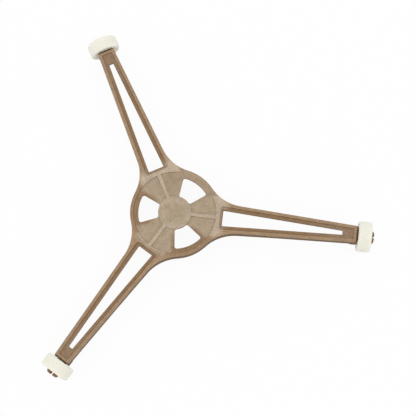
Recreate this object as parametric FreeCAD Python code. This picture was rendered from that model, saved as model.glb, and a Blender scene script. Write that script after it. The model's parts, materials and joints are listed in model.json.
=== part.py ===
"""Three-arm roller support for a microwave turntable tray: one moulded spider and three rollers.

Millimetres, +Z up. The origin is on the hub's axis in the plane that the rollers run on.
The first arm lies along +X and the others follow at equal angles.
"""
import FreeCAD, Part
import math
import os

from FreeCAD import Vector

ARM_COUNT = 3

# Rollers
TRACK_RADIUS = 108.4        # hub axis to the middle of a roller's tread
ROLLER_DIAMETER = 17.5
ROLLER_WIDTH = 7.6
ROLLER_EDGE_ROUND = 1.1
BORE_CHAMFER = 0.3

# Axle stubs, which are split so that a roller snaps on
AXLE_DIAMETER = 5.7
AXLE_CLEARANCE = 0.15       # radial, between stub and roller bore
END_PLAY = 0.2              # beside each face of a roller
SHOULDER_STEP = 0.55        # radial, from the journal out to the shoulder
BARB_STEP = 0.8             # radial, from the journal out to the head
HEAD_LENGTH = 1.55
HEAD_LAND = 0.3             # straight part of the head before it rounds off
HEAD_TAPER = 1.4            # radial, from the land in to the tip
HEAD_BULGE = 0.35           # how far the head's round bows from its chord towards a square corner
SPLIT_WIDTH = 1.5
SPLIT_DEPTH = 8.0

# Arms
ROLLER_GAP = 0.9            # end of an arm to the roller's inner face
ARM_WIDTH_AT_AXIS = 19.52   # the taper carried back to the hub's axis
ARM_WIDTH_AT_TIP = 9.44
ARM_CORNER_ROUND = 0.9
ARM_FILLET = 24.0           # where an arm flows into the hub
LEDGE_WIDTH = 2.05          # sunk ledge along each side of a slot
SLOT_END_LEDGE = 1.6        # the same ledge at the slot's hub end
SLOT_PAD = 8.0              # slot's outer end to the end of the arm
POCKET_END_RIM = 1.55
SLOT_CORNER_ROUND = 0.5
POCKET_ROOT_ROUND = 1.3     # pocket's corners beside the hub
POCKET_TIP_ROUND = 0.7
END_PLATE_THICKNESS = 2.9
END_PLATE_MARGIN = 0.45     # below the axle's shoulder
END_PLATE_CORNER_ROUND = 1.3
END_PLATE_EDGE_ROUND = 0.5
END_STEP_DROP = 1.0         # rim to the step at the end of an arm, where the end plate stands out
END_STEP_LENGTH = 0.65

# Hub
HUB_RADIUS = 25.4
ROOT_BAND = 2.1             # raised band between the hub's recess and an arm's pocket
DISC_RADIUS = 9.5
DISH_RADIUS = 6.3
DISH_DEPTH = 0.4
RIB_WIDTH = 2.0
RIB_CORNER_ROUND = 0.5
WINDOW_OUTER_RADIUS = 20.8
WINDOW_ANGLE = 46.6
WINDOW_CORNER_ROUND = 1.3

# Section shared by hub and arms
RIM_ABOVE_AXLE = 6.05
HUB_WALL_HEIGHT = 8.0
ARM_WALL_HEIGHT = 6.2
WALL_RISE_START = 28.0      # hub axis to where the walls' lower edge leaves the hub's depth
WALL_RISE_END = 60.0        # hub axis to where it has risen to the arms' depth
WALL = 1.8
RECESS_DEPTH = 0.8
PLATE_THICKNESS = 1.6
RIM_ROUND = 0.35

# Drive socket under the hub
SOCKET_BORE_DIAMETER = 7.2
SOCKET_FLAT = 2.6           # bore's axis to the flat that the spindle drives
SOCKET_WALL = 2.4
SOCKET_ROOF = 1.9           # left between the bore and the dish
SOCKET_DROP = 9.3           # rim to the socket's mouth
SOCKET_CHAMFER = 0.4

# Radii of the axle stub and of the bore that runs on it
AXLE_RADIUS = AXLE_DIAMETER / 2
ROLLER_BORE_RADIUS = AXLE_RADIUS + AXLE_CLEARANCE
SHOULDER_RADIUS = AXLE_RADIUS + SHOULDER_STEP
HEAD_RADIUS = AXLE_RADIUS + BARB_STEP
HEAD_TIP_RADIUS = HEAD_RADIUS - HEAD_TAPER

# Heights
AXLE_Z = ROLLER_DIAMETER / 2
RIM_Z = AXLE_Z + RIM_ABOVE_AXLE
FLOOR_Z = RIM_Z - RECESS_DEPTH
PLATE_BOTTOM_Z = FLOOR_Z - PLATE_THICKNESS
HUB_BOTTOM_Z = RIM_Z - HUB_WALL_HEIGHT
ARM_BOTTOM_Z = RIM_Z - ARM_WALL_HEIGHT
END_PLATE_BOTTOM_Z = AXLE_Z - SHOULDER_RADIUS - END_PLATE_MARGIN
END_STEP_Z = RIM_Z - END_STEP_DROP
SOCKET_MOUTH_Z = RIM_Z - SOCKET_DROP
SOCKET_END_Z = RIM_Z - DISH_DEPTH - SOCKET_ROOF

# Distances from the hub's axis
ROLLER_INNER = TRACK_RADIUS - ROLLER_WIDTH / 2
ROLLER_OUTER = TRACK_RADIUS + ROLLER_WIDTH / 2
ARM_TIP = ROLLER_INNER - ROLLER_GAP
END_PLATE_FACE = ARM_TIP + END_STEP_LENGTH
HEAD_START = ROLLER_OUTER + END_PLAY
HEAD_END = HEAD_START + HEAD_LENGTH
RECESS_RADIUS = HUB_RADIUS - WALL
POCKET_START = RECESS_RADIUS + ROOT_BAND
POCKET_END = ARM_TIP - POCKET_END_RIM
SLOT_START = POCKET_START + SLOT_END_LEDGE
SLOT_END = ARM_TIP - SLOT_PAD

# Taper of an arm's edge, and the distance of that edge from the hub's axis
TAPER = math.atan2((ARM_WIDTH_AT_AXIS - ARM_WIDTH_AT_TIP) / 2, ARM_TIP)
EDGE_DISTANCE = ARM_WIDTH_AT_AXIS / 2 * math.cos(TAPER)

UP = Vector(0, 0, 1)
OUT = Vector(1, 0, 0)
ORIGIN = Vector(0, 0, 0)
ARM_ANGLES = [360 / ARM_COUNT * i for i in range(ARM_COUNT)]
HALF_SECTOR = 180 / ARM_COUNT
OVERLAP = 0.5               # how far joined shapes run into each other before they become one solid
SAME = 1e-4                 # two lengths closer than this are the same


def turned(shape, degrees):
    copy = shape.copy()
    copy.rotate(ORIGIN, UP, degrees)
    return copy


def on_each_arm(shape):
    return [turned(shape, angle) for angle in ARM_ANGLES]


def polar(radius, degrees):
    angle = math.radians(degrees)
    return Vector(radius * math.cos(angle), radius * math.sin(angle), 0)


def mirrored(point):
    return Vector(point.x, -point.y, point.z)


def line(start, end):
    return Part.LineSegment(start, end).toShape()


def arc(start, middle, end):
    return Part.Arc(start, middle, end).toShape()


def prism(edges, bottom, top):
    face = Part.Face(Part.Wire(edges))
    face.translate(UP * bottom)
    return face.extrude(UP * (top - bottom))


def cylinder(radius, bottom, top):
    return Part.makeCylinder(radius, top - bottom, UP * bottom)


def distance_from_axis(edge):
    return math.hypot(edge.CenterOfMass.x, edge.CenterOfMass.y)


def is_upright(edge):
    ends = [vertex.Point for vertex in edge.Vertexes]
    return len(ends) == 2 and math.hypot(ends[0].x - ends[1].x, ends[0].y - ends[1].y) < SAME


def is_circle(edge):
    return edge.Curve.TypeId == "Part::GeomCircle"


def edge_point(distance, inset):
    """Point of an arm's left edge, drawn in by inset, at a distance from the hub's axis along the arm."""
    offset = EDGE_DISTANCE - inset
    return Vector(distance, (offset - distance * math.sin(TAPER)) / math.cos(TAPER), 0)


def spider_edges(inset, tip):
    """Outline of hub and arms, drawn in by inset, with each arm ending at tip."""
    hub = HUB_RADIUS - inset
    fillet = ARM_FILLET + inset
    offset = EDGE_DISTANCE - inset
    along = Vector(math.cos(TAPER), -math.sin(TAPER), 0)
    across = Vector(math.sin(TAPER), math.cos(TAPER), 0)
    reach = math.sqrt((hub + fillet) ** 2 - (offset + fillet) ** 2)
    centre = along * reach + across * (offset + fillet)
    on_hub = centre * (hub / (hub + fillet))
    on_arm = along * reach + across * offset
    inward = (on_hub - centre) + (on_arm - centre)
    on_fillet = centre + inward * (fillet / inward.Length)
    corner = edge_point(tip, inset)
    next_arm = 2 * HALF_SECTOR - math.degrees(math.atan2(on_hub.y, on_hub.x))
    edges = [
        arc(mirrored(on_hub), mirrored(on_fillet), mirrored(on_arm)),
        line(mirrored(on_arm), mirrored(corner)),
        line(mirrored(corner), corner),
        line(corner, on_arm),
        arc(on_arm, on_fillet, on_hub),
        arc(on_hub, polar(hub, HALF_SECTOR), polar(hub, next_arm)),
    ]
    return [turned(edge, angle) for angle in ARM_ANGLES for edge in edges]


def tapered_prism(start, end, inset, bottom, top, root_round, tip_round):
    """A prism along the first arm, parallel to the arm's edges and drawn in from them by inset."""
    near = edge_point(start, inset)
    far = edge_point(end, inset)
    corners = [mirrored(near), mirrored(far), far, near]
    edges = [line(a, b) for a, b in zip(corners, corners[1:] + corners[:1])]
    shape = prism(edges, bottom, top)
    middle = (start + end) / 2
    root_corners = [edge for edge in shape.Edges if is_upright(edge) and edge.CenterOfMass.x < middle]
    shape = shape.makeFillet(root_round, root_corners)
    tip_corners = [edge for edge in shape.Edges if is_upright(edge) and edge.CenterOfMass.x > middle]
    return shape.makeFillet(tip_round, tip_corners)


def window_prism():
    """Cut for the window that follows the first arm, from the disc out to the hub's rim."""
    angles = [HALF_SECTOR - WINDOW_ANGLE / 2, HALF_SECTOR, HALF_SECTOR + WINDOW_ANGLE / 2]
    inner = [polar(DISC_RADIUS, angle) for angle in angles]
    outer = [polar(WINDOW_OUTER_RADIUS, angle) for angle in angles]
    edges = [line(inner[0], outer[0]), arc(*outer), line(outer[2], inner[2]), arc(*reversed(inner))]
    cut = prism(edges, HUB_BOTTOM_Z, RIM_Z)
    return cut.makeFillet(WINDOW_CORNER_ROUND, [edge for edge in cut.Edges if is_upright(edge)])


def below_arms():
    """Space under the walls' lower edge, which rises along each arm."""
    floor = HUB_BOTTOM_Z - OVERLAP
    points = [(WALL_RISE_START, floor), (WALL_RISE_START, HUB_BOTTOM_Z), (WALL_RISE_END, ARM_BOTTOM_Z),
              (HEAD_END, ARM_BOTTOM_Z), (HEAD_END, floor)]
    corners = [Vector(x, 0, z) for x, z in points]
    edges = [line(a, b) for a, b in zip(corners, corners[1:] + corners[:1])]
    return Part.Face(Part.Wire(edges)).revolve(ORIGIN, UP, 360)


def shell():
    """Outer wall, plate, sunk floors, slots and windows."""
    body = prism(spider_edges(0, ARM_TIP), HUB_BOTTOM_Z, RIM_Z)
    tip_corners = [edge for edge in body.Edges if is_upright(edge) and distance_from_axis(edge) > ARM_TIP]
    body = body.makeFillet(ARM_CORNER_ROUND, tip_corners)
    hollow = prism(spider_edges(WALL, ARM_TIP - END_PLATE_THICKNESS), HUB_BOTTOM_Z, PLATE_BOTTOM_Z)
    recess = cylinder(RECESS_RADIUS, FLOOR_Z, RIM_Z)
    pocket = tapered_prism(POCKET_START, POCKET_END, WALL, FLOOR_Z, RIM_Z,
                           POCKET_ROOT_ROUND, POCKET_TIP_ROUND)
    slot = tapered_prism(SLOT_START, SLOT_END, WALL + LEDGE_WIDTH, HUB_BOTTOM_Z, RIM_Z,
                         SLOT_CORNER_ROUND, SLOT_CORNER_ROUND)
    cuts = [hollow, recess, below_arms()]
    for cut in (pocket, slot, window_prism()):
        cuts += on_each_arm(cut)
    return body.cut(cuts)


def hub_rib():
    """Raised rib on the hub's floor in line with the first arm."""
    start = DISC_RADIUS - OVERLAP
    end = RECESS_RADIUS + OVERLAP
    corner = Vector(start, -RIB_WIDTH / 2, FLOOR_Z - OVERLAP)
    return Part.makeBox(end - start, RIB_WIDTH, RIM_Z - corner.z, corner)


def end_plate():
    """Plate that closes the first arm and carries its axle stub. It stands out past the rim above it."""
    corner = Vector(ARM_TIP - END_PLATE_THICKNESS, -ARM_WIDTH_AT_TIP / 2, END_PLATE_BOTTOM_Z)
    plate = Part.makeBox(END_PLATE_FACE - corner.x, ARM_WIDTH_AT_TIP, END_STEP_Z - corner.z, corner)
    lower_corners = [edge for edge in plate.Edges
                     if edge.CenterOfMass.z < END_PLATE_BOTTOM_Z + SAME and abs(edge.CenterOfMass.y) > SAME]
    plate = plate.makeFillet(END_PLATE_CORNER_ROUND, lower_corners)
    outer_edges = [edge for edge in plate.Edges
                   if edge.BoundBox.XMin > END_PLATE_FACE - SAME and edge.BoundBox.ZMin < END_STEP_Z - SAME]
    return plate.makeFillet(END_PLATE_EDGE_ROUND, outer_edges)


def axle_stub():
    """Shoulder, journal and split barbed head on the end of the first arm."""
    root = ARM_TIP - OVERLAP
    shoulder_end = ROLLER_INNER - END_PLAY
    land_end = HEAD_START + HEAD_LAND
    points = [(root, 0), (root, SHOULDER_RADIUS),
              (shoulder_end, SHOULDER_RADIUS), (shoulder_end, AXLE_RADIUS),
              (HEAD_START, AXLE_RADIUS), (HEAD_START, HEAD_RADIUS), (land_end, HEAD_RADIUS)]
    profile = [Vector(x, 0, radius) for x, radius in points]
    tip = Vector(HEAD_END, 0, HEAD_TIP_RADIUS)
    tip_centre = OUT * HEAD_END
    corner = Vector(HEAD_END, 0, HEAD_RADIUS)
    chord_middle = (profile[-1] + tip) * 0.5
    bulge = chord_middle + (corner - chord_middle) * HEAD_BULGE
    edges = [line(a, b) for a, b in zip(profile, profile[1:])]
    edges += [arc(profile[-1], bulge, tip), line(tip, tip_centre), line(tip_centre, profile[0])]
    stub = Part.Face(Part.Wire(edges)).revolve(ORIGIN, OUT, 360)
    split_corner = Vector(HEAD_END - SPLIT_DEPTH, -SPLIT_WIDTH / 2, -HEAD_RADIUS)
    stub = stub.cut(Part.makeBox(SPLIT_DEPTH + OVERLAP, SPLIT_WIDTH, 2 * HEAD_RADIUS, split_corner))
    stub.translate(UP * AXLE_Z)
    return stub


def socket_boss():
    """Boss under the hub that holds the drive socket."""
    return cylinder(SOCKET_BORE_DIAMETER / 2 + SOCKET_WALL, SOCKET_MOUTH_Z, PLATE_BOTTOM_Z + OVERLAP)


def socket_bore():
    """Blind D-shaped bore that drops over the drive spindle, with a chamfered mouth."""
    bore = SOCKET_BORE_DIAMETER / 2
    corner = Vector(SOCKET_FLAT, -bore, SOCKET_MOUTH_Z)
    beyond_flat = Part.makeBox(bore, 2 * bore, SOCKET_END_Z - SOCKET_MOUTH_Z, corner)
    lead_in = Part.makeCone(bore + SOCKET_CHAMFER, bore, SOCKET_CHAMFER, UP * SOCKET_MOUTH_Z)
    return cylinder(bore, SOCKET_MOUTH_Z, SOCKET_END_Z).cut(beyond_flat).fuse(lead_in)


def dish():
    """Shallow spherical hollow in the top of the hub's disc."""
    radius = (DISH_RADIUS ** 2 + DISH_DEPTH ** 2) / (2 * DISH_DEPTH)
    return Part.makeSphere(radius, UP * (RIM_Z - DISH_DEPTH + radius))


def is_rib_corner(edge):
    """Upright inner corner where a hub rib meets the disc or the recess wall."""
    radius = distance_from_axis(edge)
    beside_wall = min(abs(radius - RECESS_RADIUS), abs(radius - DISC_RADIUS)) < SAME
    return is_upright(edge) and abs(edge.Length - RECESS_DEPTH) < SAME and beside_wall


def is_rim_edge(edge):
    """Edge of the raised top surface, apart from the dish's."""
    box = edge.BoundBox
    in_rim = abs(box.ZMin - RIM_Z) < SAME and abs(box.ZMax - RIM_Z) < SAME
    return in_rim and box.XLength > SAME and not abs(box.XLength - 2 * DISH_RADIUS) < SAME


def roller_frame():
    """The whole spider, which is one moulding."""
    disc = cylinder(DISC_RADIUS, PLATE_BOTTOM_Z, RIM_Z)
    additions = [disc, socket_boss()]
    for feature in (hub_rib(), end_plate(), axle_stub()):
        additions += on_each_arm(feature)
    frame = shell().fuse(additions).removeSplitter()
    frame = frame.makeFillet(RIB_CORNER_ROUND, [edge for edge in frame.Edges if is_rib_corner(edge)])
    frame = frame.cut([dish(), socket_bore()])
    return frame.makeFillet(RIM_ROUND, [edge for edge in frame.Edges if is_rim_edge(edge)])


def roller():
    """Roller on the first arm."""
    start = Vector(ROLLER_INNER, 0, AXLE_Z)
    wheel = Part.makeCylinder(ROLLER_DIAMETER / 2, ROLLER_WIDTH, start, OUT)
    wheel = wheel.makeFillet(ROLLER_EDGE_ROUND, [edge for edge in wheel.Edges if is_circle(edge)])
    wheel = wheel.cut(Part.makeCylinder(ROLLER_BORE_RADIUS, ROLLER_WIDTH, start, OUT))
    mouths = [edge for edge in wheel.Edges
              if is_circle(edge) and abs(edge.Curve.Radius - ROLLER_BORE_RADIUS) < SAME]
    return wheel.makeChamfer(BORE_CHAMFER, mouths)


os.makedirs("parts", exist_ok=True)
roller_frame().exportStep("parts/roller_frame.step")
for number, roller_shape in enumerate(on_each_arm(roller()), start=1):
    roller_shape.exportStep(f"parts/roller_{number}.step")
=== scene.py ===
"""Finish and studio stage for a three-arm roller support: a moulded spider that carries three rollers."""
import json
import math

import bpy
from bpy.props import FloatProperty, FloatVectorProperty, PointerProperty
from bpy.types import Operator, Panel, PropertyGroup
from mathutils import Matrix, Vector


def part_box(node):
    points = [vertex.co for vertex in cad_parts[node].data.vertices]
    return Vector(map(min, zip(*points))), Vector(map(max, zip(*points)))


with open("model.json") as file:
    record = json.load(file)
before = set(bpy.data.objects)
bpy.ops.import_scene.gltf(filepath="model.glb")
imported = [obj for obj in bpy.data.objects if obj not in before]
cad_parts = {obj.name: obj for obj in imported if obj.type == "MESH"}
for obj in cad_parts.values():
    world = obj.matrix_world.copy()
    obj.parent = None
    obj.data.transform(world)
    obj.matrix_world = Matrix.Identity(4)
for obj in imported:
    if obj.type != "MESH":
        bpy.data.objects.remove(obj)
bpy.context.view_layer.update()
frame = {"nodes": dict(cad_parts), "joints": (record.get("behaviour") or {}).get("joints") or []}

bl_info = {
    "name": "Roller Support Finish",
    "version": (1, 0, 0),
    "blender": (4, 5, 0),
    "location": "View3D > Sidebar > Roller Support",
    "description": "Finishes a moulded roller support and its rollers, and sets them on a studio stage",
    "category": "Object",
}

MM = 0.001
WHITE = (1, 1, 1, 1)
FRAME_NODE = "roller_frame"
ROLLER_NODES = sorted(name for name in frame["nodes"] if name != FRAME_NODE)
SECTOR = 2 * math.pi / len(ROLLER_NODES)
AXLE_HEIGHT = frame["joints"][0]["pos_m"][2] / MM
RIM_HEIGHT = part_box(FRAME_NODE)[1].z / MM

# Lines of the spider that its finish follows, in millimetres from the hub's axis and along each arm
HUB_RADIUS = 25.4
RECESS_RADIUS = 23.6
WINDOW_RADIUS = 20.8
WINDOW_SIDE = math.radians(36.7)
DISC_RADIUS = 9.5
DISH_RADIUS = 6.3
DISH_RING_RADIUS = 7.1
RIB_HALF_WIDTH = 1.0
RIM_WIDTH = 1.8
LEDGE_WIDTH = 2.05
ARM_HALF_WIDTH = 9.76
ARM_TIP_HALF_WIDTH = 4.72
ARM_TIP = 103.7
ROLLER_INNER = 104.6
POCKET_START = 25.7
POCKET_END = 102.15
SLOT_START = 27.3
SLOT_END = 95.7
ARM_TAPER = math.atan2(ARM_HALF_WIDTH - ARM_TIP_HALF_WIDTH, ARM_TIP)

# Where each tone begins and where it is full: heights, radii and places along an arm
FLOOR_HEIGHTS = (RIM_HEIGHT - 0.12, RIM_HEIGHT - 0.5)
WALL_HEIGHTS = (RIM_HEIGHT - 0.85, RIM_HEIGHT - 0.98)
DISH_RADII = (DISH_RADIUS + 1.0, DISH_RADIUS - 1.2)
DISC_RADII = (DISC_RADIUS + 0.2, DISC_RADIUS - 0.4)
HUB_RIM_RADII = (HUB_RADIUS + 1.0, HUB_RADIUS - 0.5)
OUTER_RADII = (RECESS_RADIUS - 0.5, RECESS_RADIUS)
BORDER_RADII = (DISC_RADIUS + 0.5, DISC_RADIUS + 6.5)
PAD_PLACES = (SLOT_END - 27, SLOT_END + 3)
END_PLACES = (ARM_TIP, ARM_TIP + 0.1)
STUB_PLACES = (ROLLER_INNER, ROLLER_INNER + 1.0)
BORE_RADII = (8.2, 3.0)

# The same for distances from an edge, a line or a middle, and for angles off an arm
LOBE_ANGLES = (math.radians(33), math.radians(21))
BORDER_WIDTHS = (3.0, 0.2)
SLOT_WIDTHS = (-1.5, -0.3)
BROWN_PATCH_WIDTHS = (9.0, 3.0)
FLOOR_EDGE_WIDTHS = (-0.9, -0.35)
OUTLINE_EDGE_WIDTHS = (0.75, 0.25)
DISH_RING_WIDTHS = (0.6, 0.0)
CREASE_SHEEN_WIDTHS = (1.2, 0.0)
BORDER_SIDE = (12.0, -2.0)
CREASE_SHEEN_SIDE = (17.0, 22.0)

# Shares of the tones: how sunk the disc looks, how brown each place is and how pale
DISC_SUNK = 0.4
HUB_RIM_BROWN = 0.34
BROWN_PATCH_SHARE = 0.27
BORDER_BROWN_LEAST = 0.23
BORDER_BROWN_MORE = 0.68
BORDER_OUTER_SLOPE = 0.4
# Painted highlight on the dish's edge
DISH_RING_PALE = 0.15
# Painted sheen in the crease at the hub's recess
CREASE_SHEEN = 1.8

# Patches of the two plastics, in millimetres, and the noise detail of the broad ones
MOTTLE_SIZE = 3.5
SPECK_SIZE = 0.9
STREAK_SIZE = 0.8
ROLLER_MOTTLE_SIZE = 4.0
ROLLER_GRAIN_SIZE = 0.35
FINE_DETAIL = 3.0

# The squeeze draws streaks out along an arm, and the shifts make each arm's streaks and rings differ
STREAK_SQUEEZE = 0.08
STREAK_SHIFT = 37
RING_SHIFT = 11

# Shares of the specks and streaks against the mottle, and of the rings against the grain
HUB_SPECK = 0.7
ARM_SPECK_MORE = 0.8
STREAK_SHARE = 0.8
RING_RELIEF = 1.5

# How much each tone adds to the roughness
WALL_ROUGHNESS = 0.3
MOTTLE_ROUGHNESS = 0.05
SPECK_ROUGHNESS = 0.04
# Edges with the painted highlight are also a little smoother
GLEAM_ROUGHNESS = -0.06
ROLLER_MOTTLE_ROUGHNESS = 0.04
RING_ROUGHNESS = 0.03

# Stage
FLOOR_SIDES = 128
FLOOR_DROP = 0.05 * MM
KEY_PLACE = (-0.1, 0.1, 1.0)
SENSOR_WIDTH = 36.0


def srgb(red, green, blue):
    """Scene colour of a colour given as it shows on screen, from 0 to 255."""
    shares = [level / 255 for level in (red, green, blue)]
    return [s / 12.92 if s <= 0.04045 else ((s + 0.055) / 1.055) ** 2.4 for s in shares]


def opaque(colour):
    """The colour with full alpha, as shader sockets take it."""
    return (*colour, 1.0)


class Wire:
    """One output of a shader node. Arithmetic on wires and numbers adds Math nodes."""

    def __init__(self, tree, socket=None):
        self.tree = tree
        self.socket = socket

    def node(self, kind, settings=None, inputs=None, output=0):
        """Adds a node, sets it up, fills its sockets and returns one of its outputs."""
        node = self.tree.nodes.new(kind)
        for name, value in (settings or {}).items():
            setattr(node, name, value)
        for name, value in (inputs or {}).items():
            if isinstance(value, Wire):
                self.tree.links.new(value.socket, node.inputs[name])
            else:
                node.inputs[name].default_value = value
        return Wire(self.tree, node.outputs[output] if node.outputs else None)

    def math(self, operation, *operands):
        """One Math node."""
        return self.node("ShaderNodeMath", {"operation": operation}, dict(enumerate(operands)))

    def __add__(self, other):
        return self.math("ADD", self, other)

    def __radd__(self, other):
        return self.math("ADD", other, self)

    def __sub__(self, other):
        return self.math("SUBTRACT", self, other)

    def __rsub__(self, other):
        return self.math("SUBTRACT", other, self)

    def __mul__(self, other):
        return self.math("MULTIPLY", self, other)

    def __rmul__(self, other):
        return self.math("MULTIPLY", other, self)

    def __truediv__(self, other):
        return self.math("DIVIDE", self, other)

    def size(self):
        """The value without its sign."""
        return self.math("ABSOLUTE", self)

    def least(self, *others):
        """The lowest of some values."""
        lowest = self
        for other in others:
            lowest = self.math("MINIMUM", lowest, other)
        return lowest

    def most(self, *others):
        """The highest of some values."""
        highest = self
        for other in others:
            highest = self.math("MAXIMUM", highest, other)
        return highest

    def scaled(self, factor):
        """A colour or a vector times a number."""
        return self.node("ShaderNodeVectorMath", {"operation": "SCALE"}, {0: self, "Scale": factor})

    def step(self, start, end):
        """Smooth step from 0 to 1 while this value goes from start to end, up or down."""
        smooth = {"interpolation_type": "SMOOTHSTEP"}
        return self.node("ShaderNodeMapRange", smooth, {0: self, 1: start, 2: end})

    def mix(self, first, second):
        """Colour that is first where this value is 0 and second where it is 1."""
        return self.node("ShaderNodeMix", {"data_type": "RGBA"}, {0: self, 6: first, 7: second}, output=2)

    def split(self):
        """The three coordinates of a vector."""
        return [self.node("ShaderNodeSeparateXYZ", inputs={0: self}, output=axis) for axis in range(3)]

    def joined(self, second, third):
        """Vector with this value as its first coordinate."""
        return self.node("ShaderNodeCombineXYZ", inputs={0: self, 1: second, 2: third})

    def cloud(self, size, detail=2.0):
        """Cloudy value from about -1 to 1 with patches of that size."""
        noise = self.node("ShaderNodeTexNoise", inputs={"Vector": self, "Scale": 1 / size, "Detail": detail})
        return (noise - 0.5) * 2


class Finish:
    """A new material, and where it is on its piece, in millimetres and as seen from the nearest arm."""

    def __init__(self, name):
        self.material = bpy.data.materials.new(name)
        self.material.use_nodes = True
        self.tree = self.material.node_tree
        self.tree.nodes.clear()
        self.place = Wire(self.tree).node("ShaderNodeTexCoord", output="Object").scaled(1 / MM)
        self.x, self.y, self.height = self.place.split()
        turns = self.x.math("ARCTAN2", self.y, self.x) / SECTOR + 0.5
        self.arm_number = turns.math("FLOOR", turns)
        self.off_arm = (turns - self.arm_number - 0.5) * SECTOR
        self.radius = self.distance(self.x, self.y)
        self.along = self.radius * self.off_arm.math("COSINE", self.off_arm)
        self.across = self.radius * self.off_arm.math("SINE", self.off_arm)

    def distance(self, first, second):
        """Length of a line from its two sides."""
        return first.math("SQRT", first * first + second * second)

    def from_point(self, point):
        """Distance in millimetres from a point of the plan that is given in metres."""
        middle = Vector(point) / MM
        return self.distance(self.x - middle.x, self.y - middle.y)

    def to_sheen_side(self):
        """How far towards the side of the hub where the painted sheen is strongest, half a sector on from
        the first arm.
        """
        return self.x * math.cos(SECTOR / 2) + self.y * math.sin(SECTOR / 2)

    def bump(self, height, depth):
        """Surface normal of a height from -1 to 1, with that depth in millimetres."""
        relief = {"Strength": 1.0, "Distance": depth * MM, "Height": height}
        return height.node("ShaderNodeBump", inputs=relief)

    def close(self, sockets):
        """Ends the material in a plastic surface with these sockets."""
        surface = Wire(self.tree).node("ShaderNodeBsdfPrincipled", inputs=sockets)
        surface.node("ShaderNodeOutputMaterial", inputs={"Surface": surface})
        return self.material


def dress(node_name, material):
    """Gives a CAD node that finish in every slot."""
    for slot in frame["nodes"][node_name].material_slots:
        slot.material = material


def off_hub_sheen(finish, settings):
    """0 where the hub has its painted sheen, 1 on the arms, with a soft border that reaches further along
    each arm.
    """
    lobes = finish.off_arm.size().step(*LOBE_ANGLES)
    reach = settings.hub_sheen_reach / MM + settings.hub_sheen_lobes / MM * lobes
    fade = settings.hub_sheen_fade / MM
    return (finish.from_point(settings.hub_sheen_middle) - reach).step(-fade, fade)


def depth_in_arm(finish):
    """How far inside an arm's tapered outline, in millimetres."""
    outward = finish.along * math.sin(ARM_TAPER) + finish.across.size() * math.cos(ARM_TAPER)
    return ARM_HALF_WIDTH * math.cos(ARM_TAPER) - outward


def window_border(finish):
    """1 on the hub's floor right beside a window, where its painted sheen gives way to brown, less so
    towards the side where the sheen is strongest.
    """
    off_arm = finish.off_arm.size()
    beside = finish.radius * off_arm.math("SINE", WINDOW_SIDE - off_arm)
    beyond = BORDER_OUTER_SLOPE * (finish.radius - WINDOW_RADIUS)
    strength = BORDER_BROWN_LEAST + BORDER_BROWN_MORE * finish.to_sheen_side().step(*BORDER_SIDE)
    return beside.most(beyond).step(*BORDER_WIDTHS) * strength * finish.radius.step(*BORDER_RADII)


def raised_colour(finish, settings, arm):
    """Colour of the rims, the ribs and the disc, paler on the hub with a painted sheen."""
    # The hub's paler, greyer colour is a painted sheen: the reflection of overhead light on the hub, laid
    # into the colour.
    colour = arm.mix(opaque(settings.hub_sheen_colour), opaque(settings.arm_colour))
    # Where the hub's rim lies beyond the painted sheen, it turns browner.
    hub_rim = HUB_RIM_BROWN * arm * finish.radius.step(*HUB_RIM_RADII)
    return hub_rim.mix(colour, opaque(settings.ledge_colour))


def floor_colour(finish, settings, arm, in_arm):
    """Colour of the sunk floors: the hub's, the arms' ledges and the pads at their ends, darker than the
    rims as painted shade of the recesses, and browner where the hub's painted sheen gives way.
    """
    beside_slot = (in_arm - RIM_WIDTH - LEDGE_WIDTH).least(finish.along - SLOT_START).step(*SLOT_WIDTHS)
    # A browner patch of the hub floor, round a given middle.
    brown_patch = finish.from_point(settings.brown_patch_middle).step(*BROWN_PATCH_WIDTHS)
    outside_recess = finish.radius.step(*OUTER_RADII)
    browned = (arm * outside_recess).most(window_border(finish), beside_slot, BROWN_PATCH_SHARE * brown_patch)
    colour = browned.mix(opaque(settings.hub_floor_sheen_colour), opaque(settings.ledge_colour))
    return finish.along.step(*PAD_PLACES).mix(colour, opaque(settings.pad_colour))


def painted_edge_highlight(finish, in_arm):
    """Mask of the painted highlight: 1 on the rims' edges, beside the sunk floors and along the outline."""
    radius, along = finish.radius, finish.along
    from_rib = finish.across.size() - RIB_HALF_WIDTH
    in_pocket = (in_arm - RIM_WIDTH).least(along - POCKET_START, POCKET_END - along)
    in_recess = (radius - DISC_RADIUS).least(RECESS_RADIUS - radius, from_rib)
    beside_floor = in_pocket.most(in_recess).step(*FLOOR_EDGE_WIDTHS)
    beside_outline = in_arm.most(HUB_RADIUS - radius).step(*OUTLINE_EDGE_WIDTHS)
    return beside_floor.most(beside_outline)


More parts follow.
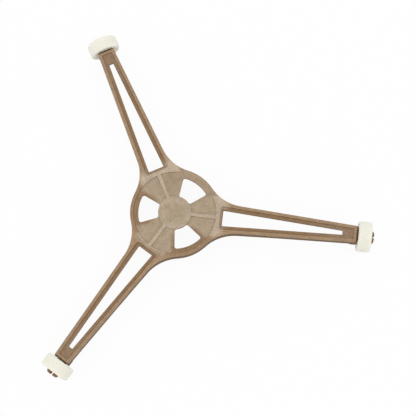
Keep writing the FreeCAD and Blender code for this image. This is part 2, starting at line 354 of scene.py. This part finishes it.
def frame_plastic(settings):
    """Brown-beige moulded plastic: paler on the hub under a painted sheen, darker with painted shade on the
    sunk floors, the walls and the arms' ends, and paler along edges with a painted highlight.
    """
    finish = Finish("frame_plastic")
    radius, along = finish.radius, finish.along
    # 0 under the hub's painted sheen, 1 on the arms.
    arm = off_hub_sheen(finish, settings)
    in_arm = depth_in_arm(finish)
    disc = radius.step(*DISC_RADII)
    dish = radius.step(*DISH_RADII)
    # Sunk floors, the dish and part of the disc take the darker floor colours: painted shade of the
    # recesses.
    sunk = finish.height.step(*FLOOR_HEIGHTS).most(DISC_SUNK * disc, dish)
    colour = sunk.mix(raised_colour(finish, settings, arm), floor_colour(finish, settings, arm, in_arm))
    # Walls and the underside take a darker colour: painted shade, as light falls on them less than on the
    # tops.
    wall = finish.height.step(*WALL_HEIGHTS)
    colour = wall.mix(colour, opaque(settings.wall_shade_colour))
    stub = along.step(*STUB_PLACES)
    # The arms' ends beside the rollers take a dark colour: painted shade of the narrow gap there.
    end = wall * along.step(*END_PLACES) * along.step(*reversed(STUB_PLACES))
    colour = end.mix(colour, opaque(settings.end_shade_colour))
    colour = stub.mix(colour, opaque(settings.stub_colour))
    mottle = finish.place.cloud(MOTTLE_SIZE, FINE_DETAIL)
    speck = finish.place.cloud(SPECK_SIZE)
    streaked = (along * STREAK_SQUEEZE).joined(finish.across, finish.arm_number * STREAK_SHIFT)
    streak = streaked.cloud(STREAK_SIZE)
    uneven = mottle + (HUB_SPECK + ARM_SPECK_MORE * arm) * speck + STREAK_SHARE * streak
    # Raised edges are paler: a painted highlight on their rounded edges.
    gleam = painted_edge_highlight(finish, in_arm) * (1 - sunk)
    # A thin paler ring at the dish's edge: painted highlight.
    ring = (radius - DISH_RING_RADIUS).size().step(*DISH_RING_WIDTHS)
    # Paler crease at the hub's recess, on the sheen side: painted sheen over the shade there.
    crease_sheen = (radius - RECESS_RADIUS).size().step(*CREASE_SHEEN_WIDTHS)
    crease_sheen = crease_sheen * finish.to_sheen_side().step(*CREASE_SHEEN_SIDE) * sunk
    # All these paler terms are painted light: highlight on edges and the dish's ring, sheen in the crease.
    pale = gleam + DISH_RING_PALE * ring + CREASE_SHEEN * crease_sheen
    rough = WALL_ROUGHNESS * wall + MOTTLE_ROUGHNESS * mottle + SPECK_ROUGHNESS * speck
    grain = finish.place.cloud(settings.grain_size / MM)
    return finish.close({
        "Base Color": colour.scaled(1 + settings.mottle * uneven + settings.gleam * pale),
        "Roughness": settings.roughness + rough + GLEAM_ROUGHNESS * gleam,
        "Normal": finish.bump(grain, settings.grain_depth / MM),
        "Specular IOR Level": settings.gloss,
    })


def roller_plastic(settings):
    """Cream-white moulded plastic with faint rings round the tread and a warmer tone towards the bore."""
    finish = Finish("roller_plastic")
    from_axle = finish.distance(finish.across, finish.height - AXLE_HEIGHT)
    ringed = finish.along.joined(finish.arm_number * RING_SHIFT, 0)
    rings = ringed.cloud(settings.ring_spacing / MM, FINE_DETAIL)
    mottle = finish.place.cloud(ROLLER_MOTTLE_SIZE, FINE_DETAIL)
    grain = finish.place.cloud(ROLLER_GRAIN_SIZE)
    colour = from_axle.step(*BORE_RADII).mix(opaque(settings.colour), opaque(settings.bore_colour))
    rough = ROLLER_MOTTLE_ROUGHNESS * mottle + RING_ROUGHNESS * rings
    return finish.close({
        "Base Color": colour.scaled(1 + settings.mottle * (mottle + rings)),
        "Roughness": settings.roughness + rough,
        "Normal": finish.bump(grain + RING_RELIEF * rings, settings.grain_depth / MM),
        "Specular IOR Level": settings.gloss,
        "Subsurface Weight": settings.depth_share,
        "Subsurface Radius": (1.0, 1.0, 1.0),
        "Subsurface Scale": settings.depth,
    })


class RollerFrameFinish(PropertyGroup):
    """Colours and grain of the moulded spider."""

    arm_colour: FloatVectorProperty(
        name="Arm colour", description="Colour of the arms' rims",
        subtype="COLOR", min=0, max=1, default=srgb(155, 128, 99))
    # Darker than the arm colour: painted shade of the sunk ledges, also the brown where the hub's painted
    # sheen gives way.
    ledge_colour: FloatVectorProperty(
        name="Ledge colour", description="Colour of the arms below their rims",
        subtype="COLOR", min=0, max=1, default=srgb(138, 108, 76))
    pad_colour: FloatVectorProperty(
        name="Pad colour", description="Colour of the floor between a slot and its roller",
        subtype="COLOR", min=0, max=1, default=srgb(143, 117, 91))
    # Darker than the tops: painted shade of the walls and the underside.
    wall_shade_colour: FloatVectorProperty(
        name="Wall colour", description="Colour of the walls and the underside",
        subtype="COLOR", min=0, max=1, default=srgb(112, 86, 60))
    # Dark: painted shade of the narrow gap between an arm's end and its roller.
    end_shade_colour: FloatVectorProperty(
        name="End colour", description="Colour of the arms' ends beside the rollers",
        subtype="COLOR", min=0, max=1, default=srgb(106, 77, 50))
    stub_colour: FloatVectorProperty(
        name="Stub colour", description="Colour of the axle stubs and their heads",
        subtype="COLOR", min=0, max=1, default=srgb(136, 103, 72))
    # The hub colours and the hub sheen settings below paint a sheen: the reflection of overhead light on the
    # hub, laid into the colour.
    hub_sheen_colour: FloatVectorProperty(
        name="Hub colour", description="Colour of the hub's rim, ribs and disc",
        subtype="COLOR", min=0, max=1, default=srgb(179, 161, 140))
    # Darker than the hub colour: painted shade of the hub's sunk floor, under its painted sheen.
    hub_floor_sheen_colour: FloatVectorProperty(
        name="Hub floor colour", description="Colour of the hub below its rim",
        subtype="COLOR", min=0, max=1, default=srgb(170, 151, 126))
    hub_sheen_middle: FloatVectorProperty(
        name="Hub tone middle", description="Middle of the hub's paler tone",
        size=2, unit="LENGTH", default=(1.3 * MM, 2.7 * MM))
    hub_sheen_reach: FloatProperty(
        name="Hub tone reach", description="Radius at which the hub's tone gives way between arms",
        unit="LENGTH", default=21.5 * MM)
    hub_sheen_lobes: FloatProperty(
        name="Hub tone lobes", description="How much further the tone reaches at each arm",
        unit="LENGTH", default=6.5 * MM)
    hub_sheen_fade: FloatProperty(
        name="Hub tone fade", description="Half the width over which the tone changes",
        unit="LENGTH", default=2.5 * MM)
    brown_patch_middle: FloatVectorProperty(
        name="Brown patch middle", description="Middle of the hub floor's browner patch",
        size=2, unit="LENGTH", default=(-2.4 * MM, 19.9 * MM))
    mottle: FloatProperty(
        name="Mottle", description="How much the tone varies",
        subtype="FACTOR", min=0, max=1, default=0.25)
    # Paleness of the raised edges: a painted highlight.
    gleam: FloatProperty(
        name="Edge wear", description="How much paler the raised edges are",
        subtype="FACTOR", min=0, max=1, default=0.13)
    roughness: FloatProperty(
        name="Roughness", description="Satin finish",
        subtype="FACTOR", min=0, max=1, default=0.45)
    gloss: FloatProperty(
        name="Gloss", description="Strength of the plastic's reflection",
        subtype="FACTOR", min=0, max=1, default=0.25)
    grain_size: FloatProperty(
        name="Grain size", description="Size of the mould's grain",
        unit="LENGTH", default=0.4 * MM)
    grain_depth: FloatProperty(
        name="Grain depth", description="Depth of the mould's grain",
        unit="LENGTH", default=0.012 * MM)


class RollerFinish(PropertyGroup):
    """Colours and rings of the rollers."""

    colour: FloatVectorProperty(
        name="Roller colour", description="Colour of the rollers",
        subtype="COLOR", min=0, max=1, default=srgb(238, 236, 223))
    bore_colour: FloatVectorProperty(
        name="Bore colour", description="Colour close to the bore",
        subtype="COLOR", min=0, max=1, default=srgb(230, 225, 206))
    mottle: FloatProperty(
        name="Mottle", description="How much the tone varies",
        subtype="FACTOR", min=0, max=1, default=0.012)
    ring_spacing: FloatProperty(
        name="Ring spacing", description="Distance between the tread's faint rings",
        unit="LENGTH", default=0.9 * MM)
    roughness: FloatProperty(
        name="Roughness", description="Satin finish",
        subtype="FACTOR", min=0, max=1, default=0.42)
    gloss: FloatProperty(
        name="Gloss", description="Strength of the plastic's reflection",
        subtype="FACTOR", min=0, max=1, default=0.4)
    grain_depth: FloatProperty(
        name="Grain depth", description="Depth of the rings and the grain",
        unit="LENGTH", default=0.006 * MM)
    depth_share: FloatProperty(
        name="Depth share", description="Share of the light that goes into the plastic",
        subtype="FACTOR", min=0, max=1, default=0.8)
    depth: FloatProperty(
        name="Depth", description="How far light spreads in the plastic",
        unit="LENGTH", default=3.0 * MM)


class RollerStage(PropertyGroup):
    """Camera, floor and light."""

    azimuth: FloatProperty(
        name="Azimuth", description="Way the camera stands round the part",
        subtype="ANGLE", default=math.radians(6.95))
    elevation: FloatProperty(
        name="Elevation", description="Height of the camera above the horizon",
        subtype="ANGLE", default=math.radians(78.6))
    distance: FloatProperty(
        name="Distance", description="From the camera to what it looks at",
        unit="LENGTH", default=720.65 * MM)
    target: FloatVectorProperty(
        name="Target", description="Point in the middle of the view",
        unit="LENGTH", default=(18.395 * MM, 4.784 * MM, 14.392 * MM))
    lens: FloatProperty(
        name="Lens", description="Focal length of the camera in millimetres", default=109.9)
    floor_radius: FloatProperty(
        name="Floor radius", description="Reach of the floor",
        unit="LENGTH", default=2.0)
    floor_colour: FloatVectorProperty(
        name="Floor colour", description="Colour of the floor",
        subtype="COLOR", min=0, max=1, default=(0.93, 0.93, 0.93))
    shadow: FloatProperty(
        name="Shadow", description="Share of the floor's own shading that the camera sees",
        subtype="FACTOR", min=0, max=1, default=0.07)
    sky: FloatProperty(
        name="Sky", description="Level of the even light from all round", min=0, default=0.85)
    key: FloatProperty(
        name="Key light", description="Level of the soft light from overhead", min=0, default=0.15)
    key_softness: FloatProperty(
        name="Key softness", description="Angle that the soft light fills",
        subtype="ANGLE", default=math.radians(50))


class FinishRollerFrame(Operator):
    """Give the moulded spider its plastic finish"""

    bl_idname = "object.finish_roller_frame"
    bl_label = "Finish Roller Frame"

    def execute(self, context):
        dress(FRAME_NODE, frame_plastic(context.scene.roller_frame_finish))
        return {"FINISHED"}


class FinishRollers(Operator):
    """Give the rollers their plastic finish"""

    bl_idname = "object.finish_rollers"
    bl_label = "Finish Rollers"

    def execute(self, context):
        material = roller_plastic(context.scene.roller_finish)
        for name in ROLLER_NODES:
            dress(name, material)
        return {"FINISHED"}


def seen_directly(tree):
    """1 for rays from the camera, and for those that a glossy or clear surface sends on."""
    path = Wire(tree)
    camera = path.node("ShaderNodeLightPath", output="Is Camera Ray")
    glossy = path.node("ShaderNodeLightPath", output="Is Glossy Ray")
    clear = path.node("ShaderNodeLightPath", output="Is Transmission Ray")
    return camera.most(glossy, clear)


class SetRollerStage(Operator):
    """Set up the floor, the light and the camera"""

    bl_idname = "scene.set_roller_stage"
    bl_label = "Set Roller Stage"

    def execute(self, context):
        settings = context.scene.roller_stage
        self.lay_floor(settings)
        self.light_studio(context, settings)
        self.hang_key_light(settings)
        self.place_camera(context, settings)
        context.scene.view_settings.view_transform = "Standard"
        return {"FINISHED"}

    def lay_floor(self, settings):
        """A white floor that shows the camera only a share of its shadows."""
        bpy.ops.object.select_all(action="DESELECT")
        bpy.ops.mesh.primitive_circle_add(
            vertices=FLOOR_SIDES, radius=settings.floor_radius, fill_type="NGON",
            location=(0, 0, -FLOOR_DROP))
        floor = bpy.context.active_object
        floor.name = "studio_floor"
        material = bpy.data.materials.new("pale_floor")
        material.use_nodes = True
        tree = material.node_tree
        tree.nodes.clear()
        start = Wire(tree)
        paper = start.node("ShaderNodeBsdfDiffuse", inputs={"Color": opaque(settings.floor_colour)})
        white = start.node("ShaderNodeEmission", inputs={"Color": WHITE, "Strength": 1.0})
        share = seen_directly(tree) * (1 - settings.shadow)
        surface = start.node("ShaderNodeMixShader", inputs={0: share, 1: paper, 2: white})
        start.node("ShaderNodeOutputMaterial", inputs={"Surface": surface})
        floor.data.materials.append(material)

    def light_studio(self, context, settings):
        """Even light from all round, against a background that looks white."""
        world = bpy.data.worlds.new("studio")
        context.scene.world = world
        world.use_nodes = True
        tree = world.node_tree
        tree.nodes.clear()
        start = Wire(tree)
        level = settings.sky + seen_directly(tree) * (1 - settings.sky)
        sky = start.node("ShaderNodeBackground", inputs={"Color": WHITE, "Strength": level})
        start.node("ShaderNodeOutputWorld", inputs={"Surface": sky})

    def hang_key_light(self, settings):
        """A soft light from overhead that lights the floor to its set level."""
        place = Vector(KEY_PLACE)
        bpy.ops.object.light_add(type="SUN", location=place)
        lamp = bpy.context.active_object
        lamp.name = "key_light"
        lamp.rotation_euler = place.to_track_quat("Z", "Y").to_euler()
        lamp.data.angle = settings.key_softness
        lamp.data.energy = settings.key * math.pi / place.normalized().z

    def place_camera(self, context, settings):
        """The camera where the photo was taken from."""
        side = math.cos(settings.elevation)
        back = Vector((math.sin(settings.azimuth) * side, -math.cos(settings.azimuth) * side,
                       math.sin(settings.elevation)))
        bpy.ops.object.camera_add(location=Vector(settings.target) + back * settings.distance)
        camera = bpy.context.active_object
        camera.name = "photo_camera"
        camera.rotation_euler = back.to_track_quat("Z", "Y").to_euler()
        camera.data.lens = settings.lens
        camera.data.sensor_width = SENSOR_WIDTH
        context.scene.camera = camera


class RollerSupportPanel(Panel):
    """Sidebar panel with the finishes and the stage"""

    bl_idname = "VIEW3D_PT_roller_support"
    bl_label = "Roller Support"
    bl_space_type = "VIEW_3D"
    bl_region_type = "UI"
    bl_category = "Roller Support"

    def draw(self, context):
        for operator, settings in STEPS:
            box = self.layout.box()
            box.operator(operator.bl_idname)
            group = getattr(context.scene, settings)
            for name in group.__annotations__:
                box.prop(group, name)


STEPS = (
    (FinishRollerFrame, "roller_frame_finish"),
    (FinishRollers, "roller_finish"),
    (SetRollerStage, "roller_stage"),
)
SETTINGS = {
    "roller_frame_finish": RollerFrameFinish,
    "roller_finish": RollerFinish,
    "roller_stage": RollerStage,
}
CLASSES = (*SETTINGS.values(), *(operator for operator, _ in STEPS), RollerSupportPanel)


def register():
    for cls in CLASSES:
        bpy.utils.register_class(cls)
    for name, group in SETTINGS.items():
        setattr(bpy.types.Scene, name, PointerProperty(type=group))


def unregister():
    for name in SETTINGS:
        delattr(bpy.types.Scene, name)
    for cls in reversed(CLASSES):
        bpy.utils.unregister_class(cls)


def main():
    register()
    bpy.ops.object.finish_roller_frame()
    bpy.ops.object.finish_rollers()
    bpy.ops.scene.set_roller_stage()


if __name__ == "__main__":
    main()
